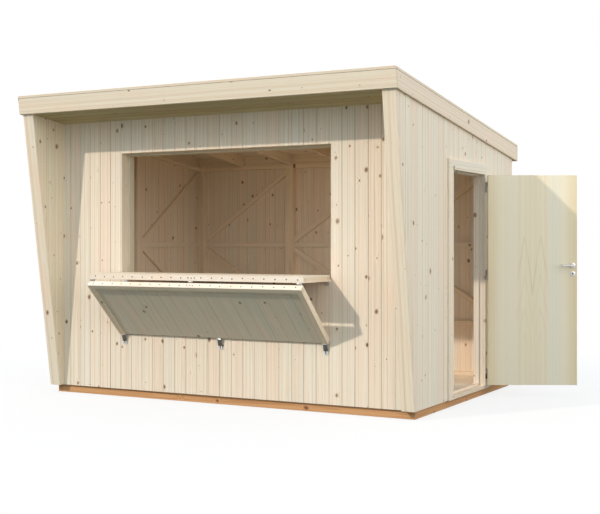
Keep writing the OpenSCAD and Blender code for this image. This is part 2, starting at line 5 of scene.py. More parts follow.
import bmesh
import bpy
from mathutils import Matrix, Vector


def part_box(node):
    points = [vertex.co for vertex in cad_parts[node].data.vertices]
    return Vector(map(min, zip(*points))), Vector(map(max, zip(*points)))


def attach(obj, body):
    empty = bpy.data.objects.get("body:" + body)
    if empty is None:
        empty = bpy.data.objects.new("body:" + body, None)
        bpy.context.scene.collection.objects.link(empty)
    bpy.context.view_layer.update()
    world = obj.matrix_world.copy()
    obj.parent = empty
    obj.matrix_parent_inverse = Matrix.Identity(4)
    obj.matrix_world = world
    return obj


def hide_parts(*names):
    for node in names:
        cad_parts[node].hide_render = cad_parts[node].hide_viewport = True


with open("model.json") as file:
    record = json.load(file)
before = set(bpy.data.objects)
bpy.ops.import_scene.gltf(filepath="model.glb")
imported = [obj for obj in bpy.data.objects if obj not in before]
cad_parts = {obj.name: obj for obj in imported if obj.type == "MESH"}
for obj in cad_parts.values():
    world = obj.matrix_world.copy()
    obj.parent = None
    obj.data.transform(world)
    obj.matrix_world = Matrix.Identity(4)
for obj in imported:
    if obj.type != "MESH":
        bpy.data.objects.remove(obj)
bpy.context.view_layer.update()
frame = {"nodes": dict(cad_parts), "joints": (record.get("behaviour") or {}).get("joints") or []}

scene = bpy.context.scene
scene.view_settings.view_transform = "Standard"

right, back, up = Vector((1, 0, 0)), Vector((0, 1, 0)), Vector((0, 0, 1))
left, front, down = -right, -back, -up
print("stall: frame loaded,", len(frame["nodes"]), "nodes")


# Shader maths: a wire is one output socket, and sums on wires add their own nodes
class Wire:
    def __init__(self, finish, socket):
        self.finish, self.socket = finish, socket

    def sum(self, operation, first, second=0.0):
        return self.finish.add("ShaderNodeMath", {"operation": operation}, {0: first, 1: second})

    def __add__(self, other): return self.sum("ADD", self, other)
    def __radd__(self, other): return self.sum("ADD", other, self)
    def __sub__(self, other): return self.sum("SUBTRACT", self, other)
    def __rsub__(self, other): return self.sum("SUBTRACT", other, self)
    def __mul__(self, other): return self.sum("MULTIPLY", self, other)
    def __rmul__(self, other): return self.sum("MULTIPLY", other, self)
    def __truediv__(self, other): return self.sum("DIVIDE", self, other)
    def __pow__(self, other): return self.sum("POWER", self, other)
    def __gt__(self, other): return self.sum("GREATER_THAN", self, other)


# A finish is one material under construction
class Finish:
    def __init__(self, name, owner=None):
        self.material = owner or bpy.data.materials.new(name)
        self.material.use_nodes = True
        self.tree = self.material.node_tree
        self.tree.nodes.clear()
        self.last = None

    def add(self, kind, settings=None, sockets=None, out=0):
        node = self.tree.nodes.new(kind)
        for key, value in (settings or {}).items():
            setattr(node, key, value)
        for key, value in (sockets or {}).items():
            if isinstance(value, Wire):
                self.tree.links.new(value.socket, node.inputs[key])
            else:
                node.inputs[key].default_value = value
        self.last = node
        return Wire(self, node.outputs[out]) if len(node.outputs) else None

    def also(self, out):  # another output of the node added last
        return Wire(self, self.last.outputs[out])

    def mix(self, first, second, amount, way="MIX"):
        paint = [c if isinstance(c, Wire) else (*c, 1.0) for c in (first, second)]
        return self.add("ShaderNodeMix", {"data_type": "RGBA", "blend_type": way},
                        {0: amount, 6: paint[0], 7: paint[1]}, 2)

    def tint(self, first, second, amount):  # darkens the first colour by the second
        return self.mix(first, second, amount, "MULTIPLY")

    def vector(self, operation, first, second):
        return self.add("ShaderNodeVectorMath", {"operation": operation}, {0: first, 1: second})

    def place(self, x, y, z):
        return self.add("ShaderNodeCombineXYZ", None, {0: x, 1: y, 2: z})

    def parts(self, vector):
        first = self.add("ShaderNodeSeparateXYZ", None, {0: vector})
        return first, self.also(1), self.also(2)

    def step(self, value, low, high):  # smooth step from 0 at low to 1 at high
        return self.add("ShaderNodeMapRange", {"interpolation_type": "SMOOTHSTEP"},
                        {0: value, 1: low, 2: high, 3: 0.0, 4: 1.0})

    def year(self, value):  # where in its year a place lies, from 0 to 1
        return self.add("ShaderNodeMath", {"operation": "FRACT"}, {0: value})

    def noise(self, vector, scale, detail=1.0):
        return self.add("ShaderNodeTexNoise", {"noise_dimensions": "3D"},
                        {"Vector": vector, "Scale": scale, "Detail": detail, "Roughness": 0.5})

    def strip(self, value, scale, detail=1.0, rough=0.6):  # noise along a line
        return self.add("ShaderNodeTexNoise", {"noise_dimensions": "1D"},
                        {"W": value, "Scale": scale, "Detail": detail, "Roughness": rough})

    def looked(self):  # 1 where the eye meets it, straight, in metal or through glass
        eye = self.add("ShaderNodeLightPath", out="Is Camera Ray")
        gloss, through = self.also("Is Glossy Ray"), self.also("Is Transmission Ray")
        return eye + gloss + through

    def board(self):  # grain place, then cut end, seam, tone and shade, as each board carries them
        grain = self.add("ShaderNodeAttribute", {"attribute_name": "grain"}, out=1)
        self.add("ShaderNodeAttribute", {"attribute_name": "marks"})
        marks, shade = self.also(0), self.also(3)
        cutEnd = self.add("ShaderNodeSeparateColor", None, {0: marks})
        return grain, cutEnd, self.also(1), self.also(2), shade

    def bump(self, height, distance, strength):
        return self.add("ShaderNodeBump", None,
                        {"Strength": strength, "Distance": distance, "Height": height})

    def surface(self, sockets):
        shader = self.add("ShaderNodeBsdfPrincipled", None, sockets)
        self.add("ShaderNodeOutputMaterial", None, {0: shader})
        return self.material


# Softwood: year rings round a pith that each board carries beside itself, knots, fibres and cut ends
def softwood(name, look):
    f = Finish(name)
    grain, cutEnd, seam, tone, shade = f.board()
    along, across, deep = f.parts(grain)

    wander = f.noise(f.place(along * 0.9, across * 5.0, deep * 5.0), 1.0, 1.0) - 0.5
    cellX, cellY = look["knotPitch"]
    x, y = along / cellX + wander * 0.3, across / cellY
    f.add("ShaderNodeTexVoronoi", {"voronoi_dimensions": "2D", "feature": "F1"},
          {"Vector": f.place(x, y, 0.0), "Scale": 1.0, "Randomness": 1.0})
    knotPlace, knotLot = f.also("Position"), f.also("Color")
    knotX, knotY, _ = f.parts(knotPlace)
    lotSize = f.add("ShaderNodeSeparateColor", None, {0: knotLot})
    lotPick, lotDark = f.also(1), f.also(2)
    awayX, awayY = (x - knotX) * cellX, (y - knotY) * cellY
    away = (awayX * awayX * 0.6 + awayY * awayY) ** 0.5
    ragged = away + (f.noise(grain, 160.0, 1.0) - 0.5) * 0.003
    knotSize = (lotSize ** 3.0 * look["bigKnot"] + look["pinKnot"]) * (lotPick > look["knotFree"])
    share = ragged / (knotSize + 0.00001)
    knot, rim = 1.0 - f.step(share, 0.7, 1.15), 1.0 - f.step(share, 0.95, 1.9)
    swirl = 1.0 - f.step(away, 0.0, 0.05)

    radius = ((across + wander * 0.03) ** 2.0 + deep * deep) ** 0.5
    radius = radius + along * 0.0035 + swirl * swirl * knotSize * 2.2
    year = f.year(radius * look["rings"] + wander * 3.0)
    late = f.step(year, 0.45, 0.92) * (1.0 - f.step(year, 0.94, 1.0))
    band = f.strip(radius, look["bands"], 3.0, 0.7)
    fibre = f.noise(f.place(along * 9.0, across * 500.0, deep * 500.0), 1.0, 1.0)
    cloud = f.noise(f.place(along * 1.6, across * 9.0, deep * 9.0), 1.0, 1.0)
    streak = f.strip(across + wander * 0.012 + tone * 7.0 + shade * 13.0, look["streaks"], 2.0)

    colour = f.mix(look["pale"], look["warm"], f.step(tone, 0.15, 1.0))
    colour = f.mix(colour, look["cool"], f.step(shade, 0.55, 1.0) * 0.75)
    ringed = f.step(band, 0.44, 0.70) * look["bandDepth"] + late * look["ringDepth"]
    colour = f.mix(colour, look["ring"], ringed)
    colour = f.mix(colour, look["blush"], f.step(cloud, 0.50, 0.72) * 0.6)
    colour = f.tint(colour, look["streak"], f.step(streak, 0.46, 0.68) * look["streakDepth"])
    colour = f.tint(colour, (0.86, 0.83, 0.78), f.step(fibre, 0.5, 0.85) * 0.6)
    colour = f.mix(colour, look["knotRim"], rim * 0.6)
    colour = f.mix(colour, look["knot"], knot * (0.55 + lotDark * 0.4))
    colour = f.tint(colour, (0.92, 0.88, 0.82), cutEnd * 0.8)
    # Joint colour on chamfers, gap sides and tongues: painted shade in the grooves, with some dirt
    colour = f.mix(colour, look["seam"], seam * look["seamDepth"])
    relief = late * 0.25 + fibre * 0.35 + knot * 0.5 + cutEnd * fibre * 0.6
    return f.surface({
        "Base Color": colour,
        "Roughness": look["rough"] + band * 0.12 - knot * 0.12 + cutEnd * 0.1,
        "Specular IOR Level": 0.3,
        "Normal": f.bump(relief, 0.0007, 0.55),
    })


spruceLook = {
    "pale": (0.890, 0.792, 0.648), "warm": (0.888, 0.745, 0.592), "cool": (0.828, 0.788, 0.672),
    "ring": (0.750, 0.585, 0.405), "blush": (0.895, 0.720, 0.570),
    "knot": (0.16, 0.075, 0.038), "knotRim": (0.55, 0.36, 0.22), "seam": (0.30, 0.20, 0.12),
    "knotPitch": (0.27, 0.11), "bigKnot": 0.0130, "pinKnot": 0.0026, "knotFree": 0.44,
    "streaks": 60.0, "streak": (0.86, 0.83, 0.77), "streakDepth": 0.7,
    "rings": 260.0, "bands": 140.0, "bandDepth": 0.60, "ringDepth": 0.18, "seamDepth": 0.80, "rough": 0.58,
}


def variant(name, **changes):
    return softwood(name, dict(spruceLook, **changes))


spruce = softwood("planed spruce boards", spruceLook)
# Soffit boards darker and more olive than the walls: painted shade under the roof overhang
soffitShadeSpruce = variant(
    "soffit spruce boards", pale=(0.590, 0.520, 0.305), warm=(0.475, 0.390, 0.215), cool=(0.455, 0.44, 0.27),
    ring=(0.41, 0.31, 0.15), blush=(0.52, 0.41, 0.23), seam=(0.16, 0.11, 0.065), seamDepth=0.95,
    bandDepth=0.75, streaks=22.0,
)
fasciaSpruce = variant(
    "fascia spruce boards", pale=(0.855, 0.750, 0.590), warm=(0.855, 0.705, 0.525), cool=(0.825, 0.745, 0.6),
    ring=(0.72, 0.55, 0.36), blush=(0.86, 0.68, 0.50), bands=60.0, bandDepth=0.6, streaks=40.0,
    streak=(0.90, 0.86, 0.79), knotPitch=(0.45, 0.12),
)
wingSpruce = variant(
    "wing spruce boards", pale=(0.880, 0.795, 0.610), warm=(0.870, 0.750, 0.555), cool=(0.835, 0.795, 0.625),
    blush=(0.87, 0.72, 0.53), knotFree=0.30,
)
# Window stops darker than the wall boards: painted shade in the window reveal
stopShadeSpruce = variant(
    "window stop spruce", pale=(0.700, 0.645, 0.500), warm=(0.690, 0.610, 0.460), cool=(0.670, 0.640, 0.510),
)
# Door frame greyer and cooler than the boards: painted shade on the jambs
doorFrameShadeSpruce = variant(
    "door frame spruce", pale=(0.790, 0.750, 0.670), warm=(0.780, 0.715, 0.620), cool=(0.740, 0.735, 0.680),
)
flapSpruce = variant(
    "flap lining spruce", pale=(0.805, 0.735, 0.590), warm=(0.795, 0.710, 0.560), cool=(0.765, 0.735, 0.605),
    streakDepth=0.35, bandDepth=0.35, knotFree=0.72,
)
lathSpruce = variant(
    "lath spruce", pale=(0.865, 0.765, 0.645), warm=(0.865, 0.745, 0.615), cool=(0.835, 0.760, 0.655),
    streakDepth=0.4, bandDepth=0.35, knotFree=0.8,
)
framing = variant(
    "framing timber", pale=(0.880, 0.765, 0.600), warm=(0.870, 0.715, 0.530), cool=(0.840, 0.770, 0.625),
    knotPitch=(0.34, 0.09), bigKnot=0.011, rings=210.0, bandDepth=0.5, rough=0.62,
)
treated = variant(
    "treated base timber", pale=(0.71, 0.395, 0.190), warm=(0.67, 0.355, 0.155), cool=(0.67, 0.395, 0.200),
    ring=(0.44, 0.205, 0.078), blush=(0.66, 0.35, 0.145), knot=(0.13, 0.05, 0.018),
    knotRim=(0.34, 0.15, 0.055), seam=(0.10, 0.05, 0.02), rings=170.0, bandDepth=0.55, ringDepth=0.35,
    rough=0.66, knotFree=0.86, streaks=40.0,
)


# Sliced veneer: two leaves mirrored about the middle joint, with a crown of year lines beside it
def slicedVeneer(name, look):
    f = Finish(name)
    grain, cutEnd, seam, _, _ = f.board()
    along, across, deep = f.parts(grain)
    fold = f.add("ShaderNodeMath", {"operation": "ABSOLUTE"}, {0: across - look["joint"]})
    wander = f.noise(f.place(along * 1.3, fold * 4.0, 0.0), 1.0, 1.0) - 0.5
    bent = fold + wander * 0.03
    heart = bent - look["crownAt"]
    ripple = f.noise(f.place(along * 5.0, fold * 16.0, 7.0), 1.0, 1.0) - 0.5
    crown = along + ((heart * heart + 0.00012) ** 0.5) * look["crownSteep"]
    years = (crown - look["crownTop"]) * look["crowns"] + wander * 1.6 + ripple * 0.35
    year = f.year(years)
    pool = f.noise(f.place(along * 1.1, fold * 6.0, 3.0), 1.0, 1.0)
    late = f.step(year, 0.62, 0.90) * (1.0 - f.step(year, 0.93, 1.0))
    top = look["crownTop"]
    figure = late * (1.0 - f.step(fold, 0.09, 0.17)) * (1.0 - f.step(crown, top - 0.01, top + 0.05))
    figure = figure * f.step(along, 0.55, 1.1)
    figure = figure * (0.30 + f.step(crown, top - 0.36, top - 0.24) * 0.7) * (0.45 + pool)
    band = f.strip(bent, 13.0, 1.0)
    line = f.strip(across + wander * 0.006, 90.0, 2.0)
    fibre = f.noise(f.place(along * 12.0, across * 700.0, deep * 100.0), 1.0, 1.0)
    crest = look["silverAt"]
    silvered = f.step(bent, crest - 0.11, crest) * (1.0 - f.step(bent, crest, crest + 0.10))
    colour = f.mix(look["pale"], look["straw"], f.step(bent, crest + 0.06, 0.38) * (0.25 + pool * 0.9))
    colour = f.mix(colour, look["straw"], f.step(band, 0.45, 0.75) * 0.4)
    lockSide = f.step(across, look["joint"] - 0.04, look["joint"] + 0.04)
    colour = f.mix(colour, look["silver"], silvered * (0.20 + lockSide * 0.55))
    ringed = figure * look["figureDepth"] + f.step(pool, 0.55, 0.8) * f.step(line, 0.5, 0.7) * 0.3
    colour = f.mix(colour, look["ring"], ringed)
    colour = f.tint(colour, (0.93, 0.91, 0.87), f.step(line, 0.45, 0.70) * 0.55)
    colour = f.tint(colour, (0.93, 0.91, 0.86), f.step(fibre, 0.5, 0.9) * 0.5)
    colour = f.tint(colour, (0.82, 0.74, 0.60), cutEnd * 0.7 + seam * 0.8)
    return f.surface({
        "Base Color": colour, "Roughness": 0.42 + late * 0.06, "Specular IOR Level": 0.4,
        "Normal": f.bump(fibre * 0.4 + line * 0.2, 0.0004, 0.5),
    })


veneer = slicedVeneer("door veneer", {
    "pale": (0.895, 0.800, 0.600), "straw": (0.805, 0.660, 0.412), "silver": (0.845, 0.792, 0.645),
    "ring": (0.66, 0.54, 0.33), "joint": 0.395, "crownAt": 0.07, "crownTop": 1.82, "crownSteep": 6.5,
    "crowns": 3.6, "silverAt": 0.20, "figureDepth": 0.55,
})


# Metals: zinc-plated fittings, satin handles, black caps, and dark zinc and black steel used as painted shade
def metalFinish(name, colour, dull, metallic, rough, spangle=0.0):
    f = Finish(name)
    place = f.add("ShaderNodeTexCoord", None, None, "Object")
    smear = f.noise(f.vector("MULTIPLY", place, (60.0, 60.0, 9.0)), 1.0, 2.0)
    speck = f.noise(place, 420.0, 1.0)
    patch = f.noise(place, 45.0, 2.0)
    paint = f.mix(colour, dull, f.step(patch, 0.45, 0.75) * 0.6)
    paint = f.mix(paint, dull, f.step(speck, 0.62, 0.75) * spangle)
    return f.surface({
        "Base Color": paint, "Metallic": metallic, "Roughness": rough + smear * 0.12,
        "Normal": f.bump(speck + smear, 0.00015, 0.4),
    })


zinc = metalFinish("zinc-plated steel", (0.34, 0.34, 0.325), (0.20, 0.205, 0.195), 1.0, 0.27, 0.5)
# Dark zinc for the middle of each hasp plate: painted shade
shadeZinc = metalFinish("oiled zinc joints", (0.11, 0.11, 0.105), (0.06, 0.06, 0.058), 1.0, 0.35, 0.4)
brightZinc = metalFinish("bright zinc plates", (0.70, 0.70, 0.68), (0.50, 0.505, 0.49), 1.0, 0.30, 0.4)
satin = metalFinish("satin handle metal", (0.56, 0.56, 0.55), (0.42, 0.42, 0.42), 1.0, 0.24)
# Black steel for the foot hinge, also the painted shade in the hasp slots and key holes
blackSteelAndShade = metalFinish("black hinge steel", (0.028, 0.028, 0.030), (0.05, 0.05, 0.05), 0.0, 0.42)
nailMetal = metalFinish("nail heads", (0.20, 0.15, 0.11), (0.11, 0.08, 0.055), 0.4, 0.6, 0.8)


# Mineral felt: coarse granules on a dark sheet
def mineralFelt(name, look):
    f = Finish(name)
    place = f.add("ShaderNodeTexCoord", None, None, "Object")
    grit = f.add("ShaderNodeTexVoronoi", {"feature": "F1"}, {"Vector": place, "Scale": look["granules"]})
    lot = f.add("ShaderNodeSeparateColor", None, {0: f.also("Color")})
    worn = f.noise(place, 2.2, 3.0)
    colour = f.mix(look["dark"], look["light"], lot)
    colour = f.mix(colour, look["dust"], f.step(worn, 0.45, 0.8) * 0.35)
    return f.surface({
        "Base Color": colour, "Roughness": 0.86 + worn * 0.1,
        "Normal": f.bump(1.0 - grit, 0.0012, 0.9),
    })


felt = mineralFelt("roofing felt", {
    "granules": 420.0, "dark": (0.05, 0.05, 0.052), "light": (0.17, 0.17, 0.168), "dust": (0.22, 0.21, 0.19),
})
print("stall: finishes made")


# A stack gathers boards, timbers and fittings into one piece, with their grain and marks at each corner
class Stack:
    def __init__(self):
        self.points, self.faces, self.grain, self.marks, self.smooth = [], [], [], [], []

    def lay(self, mesh, axes, origin, shift, lot, seamAt=None, seam=0.0, smooth=False):
        along, across, out = axes
        start = len(self.points)
        mesh.verts.index_update()
        self.points += [tuple(v.co) for v in mesh.verts]
        for face in mesh.faces:
            self.faces.append([start + v.index for v in face.verts])
            self.smooth.append(smooth)
            end = 1.0 if abs(face.normal.dot(along)) > 0.6 else 0.0
            broad = abs(face.normal.dot(out)) > 0.999
            for v in face.verts:
                away = v.co - origin
                self.grain += [away.dot(axis) + offset for axis, offset in zip(axes, shift)]
                # Joint darkness on chamfers, gap sides and tongues: painted shade in the grooves, with some
                # dirt
                jointShadeAndDirt = seam if seamAt is None else 0.0
                if seamAt and not broad and not end:
                    jointShadeAndDirt = seam if min(abs(v.co.dot(across) - s) for s in seamAt) < 0.0012 else 0.0
                self.marks += [end, jointShadeAndDirt, lot[0], lot[1]]
        mesh.free()

    def build(self, name, material, slot, body="stall", nodes=()):
        mesh = bpy.data.meshes.new(name)
        mesh.from_pydata(self.points, [], self.faces)
        mesh.polygons.foreach_set("use_smooth", self.smooth)
        mesh.attributes.new("grain", "FLOAT_VECTOR", "CORNER").data.foreach_set("vector", self.grain)
        mesh.attributes.new("marks", "FLOAT_COLOR", "CORNER").data.foreach_set("color", self.marks)
        mesh.materials.append(material)
        if any(self.smooth):
            mesh.set_sharp_from_angle(angle=math.radians(38))
        piece = bpy.data.objects.new(name, mesh)
        scene.collection.objects.link(piece)
        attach(piece, body)
        if nodes:
            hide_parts(*nodes)
        return piece


# The separate solids of a construction node, as meshes with flat faces joined up
def solidsOf(node, flat=0.5):
    whole = bmesh.new()
    whole.from_mesh(frame["nodes"][node].data)
    bmesh.ops.remove_doubles(whole, verts=whole.verts, dist=2e-5)
    bmesh.ops.dissolve_limit(whole, angle_limit=math.radians(flat), verts=whole.verts, edges=whole.edges)
    seen, found = set(), []
    for face in whole.faces:
        if face in seen:
            continue
        group, queue = [], [face]
        seen.add(face)
        while queue:
            one = queue.pop()
            group.append(one)
            for edge in one.edges:
                for other in edge.link_faces:
                    if other not in seen:
                        seen.add(other)
                        queue.append(other)
        solid, made = bmesh.new(), {}
        for one in group:
            for v in one.verts:
                if v not in made:
                    made[v] = solid.verts.new(v.co)
            solid.faces.new([made[v] for v in one.verts])
        solid.normal_update()
        found.append(solid)
    whole.free()
    return sorted(found, key=lambda s: tuple(round(c, 4) for c in centreOf(s)))


def centreOf(mesh):
    return sum((v.co for v in mesh.verts), Vector()) / len(mesh.verts)


def reach(mesh, direction):
    places = [v.co.dot(direction) for v in mesh.verts]
    return min(places), max(places)


def broadFace(mesh):
    return max(mesh.faces, key=lambda f: f.calc_area())


# The direction itself or its opposite, whichever points the given way
def turnedTo(direction, way):
    return -direction if direction.dot(way) < 0 else direction


def edgeRuns(edge, direction):
    return abs((edge.verts[0].co - edge.verts[1].co).normalized().dot(direction)) > 0.999


# Keeps the part of a solid between two places along a direction
def slab(mesh, direction, low, high):
    part = mesh.copy()
    for place, normal in ((low, -direction), (high, direction)):
        least, most = reach(part, direction)
        if least + 1e-5 < place < most - 1e-5:
            cut = bmesh.ops.bisect_plane(part, geom=part.verts[:] + part.edges[:] + part.faces[:], dist=1e-7,
                                         plane_co=direction * place, plane_no=normal, clear_outer=True)
            rim = [e for e in cut["geom_cut"] if isinstance(e, bmesh.types.BMEdge)]
            bmesh.ops.holes_fill(part, edges=rim, sides=0)
    part.normal_update()
    return part


def ease(mesh, edges, width, segments=1):
    if edges and width:
        bmesh.ops.bevel(mesh, geom=edges, offset=width, offset_type="OFFSET", segments=segments, profile=0.5,
                        affect="EDGES", clamp_overlap=True)
        mesh.normal_update()


def sharpEdges(mesh, least=20):
    return [e for e in mesh.edges
            if len(e.link_faces) == 2 and e.is_convex and e.calc_face_angle(0.0) > math.radians(least)]


# Where a board was sawn from its log: along it, across it and beside the pith
def boardShift(dice, centre):
    start = dice.uniform(0, 60)
    return (start, dice.choice((-1, 1)) * dice.uniform(0.0, 0.075) - centre, dice.uniform(0.010, 0.080))


# Matched boarding: a panel of the construction sawn into boards with eased edges and a tongue in each joint
def boarding(name, nodes, along, out, boards, material=spruce, keep=None):
    across = out.cross(along)
    axes = (along, across, out)
    stack = Stack()
    half, narrowest = boards["gap"] / 2, 0.002
    start, pitch = boards["start"], boards["pitch"]
    for node in nodes:
        for panel in solidsOf(node):
            if keep:
                panel = slab(panel, *keep)
            least, most = reach(panel, across)
            inner, outer = reach(panel, out)
            for k in range(math.floor((least - start) / pitch), math.ceil((most - start) / pitch)):
                low, high = start + k * pitch, start + (k + 1) * pitch
                if high < least + narrowest or low > most - narrowest:
                    continue
                seams = [s for s in (low, high) if least + narrowest < s < most - narrowest]
                board = slab(panel, across, low + half if low in seams else least - 1,
                             high - half if high in seams else most + 1)
                for place, width in ((outer, boards["chamfer"]), (inner, boards["inside"])):
                    arrises = [e for e in board.edges if seams and edgeRuns(e, along)
                               and all(abs(v.co.dot(out) - place) < 5e-5 for v in e.verts)
                               and min(abs(e.verts[0].co.dot(across) - s) for s in seams) < half + 1e-5]
                    ease(board, arrises, width)
                dice = random.Random(f"{boards['lot']} {k}")
                shift = boardShift(dice, (low + high) / 2)
                lot = (dice.random() ** 1.4, dice.random())
                jointShadeAndDirt = dice.uniform(*boards.get("seams", (0.2, 0.95)))
                stack.lay(board, axes, out * inner, shift, lot, seams, jointShadeAndDirt)
                if high in seams:
                    tongue = slab(panel, across, high - half - 0.0004, high + half + 0.0004)
                    middle, thick = (inner + outer) / 2, boards["tongue"] / 2
                    part = slab(tongue, out, middle - thick, middle + thick)
                    tongue.free()
                    # The tongue takes the full joint darkness: painted shade in the gap
                    stack.lay(part, axes, out * inner, shift, lot, seam=1.0)
            panel.free()
    return stack.build(name, material, "spruce_boards", nodes=nodes)


# Sawn and planed timbers: each solid with its arrises eased and the grain along its longest edge
def timbers(name, nodes, timber, material=framing, slot="framing_timber", keep=None):
    stack = Stack()
    for node in nodes:
        for k, solid in enumerate(solidsOf(node)):
            if keep:
                solid = slab(solid, *keep)
            longest = max(solid.edges, key=lambda e: e.calc_length())
            along = (longest.verts[1].co - longest.verts[0].co).normalized()
            sides = [f for f in solid.faces if abs(f.normal.dot(along)) < 0.05]
            out = max(sides, key=lambda f: f.calc_area()).normal.copy()
            out = (out - along * out.dot(along)).normalized()
            across = out.cross(along)
            low, high = reach(solid, across)
            inner, outer = reach(solid, out)
            ease(solid, sharpEdges(solid), timber["ease"], 2)
            dice = random.Random(f"{timber['lot']} {node} {k}")
            shift = (dice.uniform(0, 60), dice.choice((-1, 1)) * dice.uniform(0.0, 0.06) - (low + high) / 2,
                     dice.uniform(0.006, 0.05) - (inner + outer) / 2)
            stack.lay(solid, (along, across, out), Vector(), shift, (dice.random() ** 1.4, dice.random()))
    return stack.build(name, material, slot, nodes=nodes)


def planks(name, node, timber, material=fasciaSpruce):
    timbers(name, [node], timber, material, "spruce_boards")


# Base and floor
baseTimber = {"lot": "base", "ease": 0.002}
for node in ("base_cross_beams", "base_side_beams", "floor_joists"):
    timbers(f"{node}_timber", [node], baseTimber, treated, "treated_timber")
floorBoards = {"lot": "floor", "pitch": 0.12, "start": 0.03, "gap": 0.0008, "chamfer": 0.0012,
               "inside": 0.0, "tongue": 0.006}
boarding("floor_boards", ["floor"], right, up, floorBoards)
print("stall: base and floor laid")

# Wall boarding: the joints run on from one wall section to the next
wallBoards = {"lot": "front", "pitch": 0.1155, "start": 0.0, "gap": 0.0010, "chamfer": 0.0024,
              "inside": 0.0007, "tongue": 0.006}
for section in ("left", "right", "below", "above"):
    boarding(f"front_boards_{section}", [f"front_wall_{section}"], up, front, wallBoards)
sideBoards = dict(wallBoards, lot="side", start=1.2, chamfer=0.0030, seams=(0.5, 1.0))
boarding("left_boards", ["left_wall"], up, left, dict(sideBoards, lot="left", start=-1.2))
for section in ("front", "rear", "over_door"):
    boarding(f"right_boards_{section}", [f"right_wall_{section}"], up, right, sideBoards)
boarding("back_boards", ["back_wall"], up, back, dict(wallBoards, lot="back"))
wingBoards = dict(wallBoards, lot="wing", start=1.2, chamfer=0.0018, seams=(0.0, 0.55))
boarding("wing_lining_boards", ["wing_linings"], up, right, dict(wingBoards, inside=0.0016), wingSpruce)
wingEdge = {"lot": "wing edge", "ease": 0.0018}
planks("wing_edge_boards", "wing_front_boards", wingEdge)
print("stall: walls boarded")

# Wall frames
studwork = {"lot": "studs", "ease": 0.0018}
for wall in ("front", "left", "right", "back"):
    timbers(f"{wall}_frame_timber", [f"{wall}_wall_frame"], studwork)
timbers("window_stop_frame", ["window_stops"], dict(studwork, lot="stops"), stopShadeSpruce)
print("stall: frames up")

# Roof: rafters, boards on top and below, felt in lapped sheets, fascias and trims
roofPanel = solidsOf("roof_boards")[0]
fallSide = max(roofPanel.faces, key=lambda f: f.normal.z).normal.copy()
for node in ("rafters", "rafter_blocks"):
    timbers(f"{node}_timber", [node], dict(studwork, lot=node))
roofBoards = {"lot": "roof", "pitch": 0.1155, "start": 0.02, "gap": 0.0012, "chamfer": 0.001,
              "inside": 0.003, "tongue": 0.006}
soffitBoards = dict(roofBoards, lot="soffit", gap=0.003, inside=0.0056, seams=(0.9, 1.0))
boarding("roof_underboards", ["roof_boards"], right, fallSide, roofBoards)
boarding("soffit_boards", ["soffit"], right, fallSide, soffitBoards, soffitShadeSpruce)
fascia = {"lot": "fascia", "ease": 0.0016}
planks("front_fascia_board", "front_fascia", fascia)
planks("side_fascia_boards", "side_fascias", fascia, spruce)
planks("back_fascia_board", "back_fascia", fascia)
planks("roof_edge_battens", "roof_edge_trims", dict(fascia, lot="trims"))

feltSheets = {"width": 0.93, "lap": 0.08, "rise": 0.0016, "wrinkle": 0.0005, "thick": 0.0012,
              "inset": 0.047, "lift": 0.0002, "cellsAlong": 60, "cellsUp": 10}


def lappedFelt():
    sheet = solidsOf("roof_felt")[0]
    stack = Stack()
    slope = turnedTo(right.cross(fallSide).normalized(), front)  # up the roof
    low, high = reach(sheet, slope)
    dice = random.Random("felt")
    axes = (right, slope, fallSide)
    surface = reach(sheet, fallSide)[1]
    stack.lay(sheet, axes, Vector(), (0, 0, 0), (0.5, 0.5))
    inset = feltSheets["inset"]  # the trims stand on the sheet's rim
    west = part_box("roof_felt")[0].x + inset
    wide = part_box("roof_felt")[1].x - inset - west
    countX, countY = feltSheets["cellsAlong"], feltSheets["cellsUp"]
    edge = low
    while edge < high - inset:
        top = min(edge + feltSheets["width"], high - inset)
        foot = max(edge - feltSheets["lap"], low + inset)
        course, rows = bmesh.new(), []
        for j in range(countY + 1):
            row = []
            for i in range(countX + 1):
                x, s = west + wide * i / countX, foot + (top - foot) * j / countY
                lift = feltSheets["rise"] * (1 - j / countY) + feltSheets["lift"]
                swell = math.sin(x * 5.1 + edge * 7) + math.sin(x * 2.3 + s * 9.0)
                wave = feltSheets["wrinkle"] * swell * (0.5 if j else 0.2)
                height = surface + lift + max(0.0, wave)
                row.append(course.verts.new(right * x + slope * s + fallSide * height))
            rows.append(row)
        for lower, upper in zip(rows, rows[1:]):
            for i in range(countX):
                course.faces.new((lower[i], lower[i + 1], upper[i + 1], upper[i]))
        under = bmesh.ops.extrude_face_region(course, geom=course.faces[:])
        lowered = [v for v in under["geom"] if isinstance(v, bmesh.types.BMVert)]
        bmesh.ops.translate(course, vec=fallSide * -feltSheets["thick"], verts=lowered)
        bmesh.ops.recalc_face_normals(course, faces=course.faces)
        stack.lay(course, axes, Vector(), (dice.uniform(0, 9), 0, 0), (dice.random(), 0.5))
        edge += feltSheets["width"]
    return stack.build("lapped_roof_felt", felt, "roofing_felt", nodes=["roof_felt"])


lappedFelt()
print("stall: roof covered")

